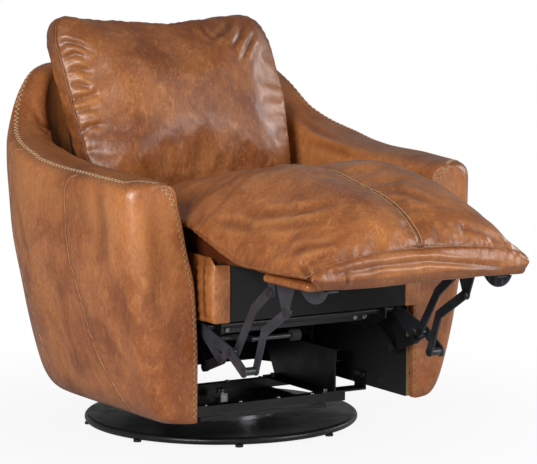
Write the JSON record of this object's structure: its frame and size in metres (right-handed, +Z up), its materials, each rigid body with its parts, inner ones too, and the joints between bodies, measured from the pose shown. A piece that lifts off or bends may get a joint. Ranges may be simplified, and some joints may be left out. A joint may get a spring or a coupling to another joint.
{
  "type": "swivel recliner armchair",
  "caption": "Leather tub armchair that swivels on a round disc base, with a reclining back, a seat that slides forward and a fold-out footrest on bar links.",
  "frame": {"origin": "on the swivel axis, at floor level on the underside of the base's feet", "axes": "+Z up along the swivel axis; the chair faces -Y; +X is the sitter's left"},
  "size_m": [0.9196, 1.2633, 0.9334],
  "materials": {
    "leather": "cognac pull-up leather, semi-matt, lightly mottled",
    "black_steel": "black powder coat",
    "link_steel": "slate grey e-coat",
    "bright_steel": "zinc plated",
    "rubber": "moulded black rubber",
    "plywood": "raw plywood and hardwood",
    "cambric": "black non-woven dust cloth",
    "lining": "black lining cloth glued to the boards"
  },
  "bodies": {
    "base": {"base_disc": "black_steel", "base_feet": "rubber", "lower_race": "bright_steel", "bearing_balls": "bright_steel", "swivel_bolt": "bright_steel", "swivel_nut": "bright_steel"},
    "chassis": {"upper_race": "bright_steel", "swivel_plate": "black_steel", "front_base_rail": "black_steel", "rear_base_rail": "black_steel", "left_side_plate": "link_steel", "right_side_plate": "link_steel", "rail_brackets": "black_steel", "frame_bolts": "bright_steel", "left_channel": "link_steel", "right_channel": "link_steel", "left_arm": "leather", "right_arm": "leather", "outer_back": "leather", "left_arm_board": "plywood", "right_arm_board": "plywood", "rear_board": "lining", "left_lining": "lining", "right_lining": "lining"},
    "seat": {"left_slide_bar": "bright_steel", "right_slide_bar": "bright_steel", "left_seat_plate": "link_steel", "right_seat_plate": "link_steel", "left_seat_rail": "plywood", "right_seat_rail": "plywood", "rear_seat_rail": "plywood", "front_board": "plywood", "front_panel": "cambric", "left_wrap": "leather", "right_wrap": "leather", "seat_springs": "bright_steel", "front_cross_rail": "black_steel", "rear_cross_rail": "black_steel", "seat_pins": "bright_steel", "seat_cushion": "leather"},
    "back": {"back_frame": "plywood", "left_hinge_arm": "link_steel", "right_hinge_arm": "link_steel", "back_cushion": "leather"},
    "footrest": {"footrest_board": "leather", "left_bracket": "link_steel", "right_bracket": "link_steel", "bracket_pins": "bright_steel", "footrest_pad": "leather"},
    "crank": {"torque_tube": "black_steel", "left_crank": "link_steel", "right_crank": "link_steel", "crank_pins": "bright_steel", "stop_rod": "bright_steel", "rubber_stop": "rubber"},
    "rear_arm": {"rear_arms": "black_steel", "rear_arm_pins": "bright_steel"},
    "front_link": {"front_links": "link_steel"},
    "lower_link": {"lower_links": "link_steel"},
    "drive_link": {"drive_links": "black_steel"}
  },
  "joints": [
    {"name": "swivel", "type": "hinge", "parent": "base", "child": "chassis", "pos_m": [0, 0, 0], "axis": [0, 0, 1], "continuous": true},
    {"name": "seat_advance", "type": "slide", "parent": "chassis", "child": "seat", "axis": [0, -1, 0], "range_m": [0, 0.12]},
    {"name": "recline", "type": "hinge", "parent": "seat", "child": "back", "pos_m": [0, 0.185, 0.342], "axis": [-1, 0, 0], "range_deg": [0, 14]},
    {"name": "footrest_fold", "type": "hinge", "parent": "seat", "child": "footrest", "pos_m": [0, -0.475, 0.43], "axis": [1, 0, 0], "range_deg": [0, 85]},
    {"name": "crank_turn", "type": "hinge", "parent": "seat", "child": "crank", "pos_m": [0, -0.345, 0.287], "axis": [1, 0, 0], "range_deg": [0, 85]},
    {"name": "rear_arm_turn", "type": "hinge", "parent": "seat", "child": "rear_arm", "pos_m": [0, -0.265, 0.258], "axis": [1, 0, 0], "range_deg": [0, 85]},
    {"name": "front_link_turn", "type": "hinge", "parent": "crank", "child": "front_link", "pos_m": [0, -0.47, 0.252], "axis": [1, 0, 0], "range_deg": [-85, 0]},
    {"name": "lower_link_turn", "type": "hinge", "parent": "crank", "child": "lower_link", "pos_m": [0, -0.527, 0.218], "axis": [1, 0, 0], "range_deg": [-85, 0]},
    {"name": "drive_link_turn", "type": "hinge", "parent": "crank", "child": "drive_link", "pos_m": [0, -0.43, 0.23], "axis": [1, 0, 0], "range_deg": [-85, 0]}
  ],
  "couplings": [
    {"joint": "seat_advance", "follows": "recline", "m_per_rad": 0.49111},
    {"joint": "crank_turn", "follows": "footrest_fold", "ratio": 1},
    {"joint": "rear_arm_turn", "follows": "footrest_fold", "ratio": 1},
    {"joint": "front_link_turn", "follows": "footrest_fold", "ratio": -1},
    {"joint": "lower_link_turn", "follows": "footrest_fold", "ratio": -1},
    {"joint": "drive_link_turn", "follows": "footrest_fold", "ratio": -1}
  ]
}
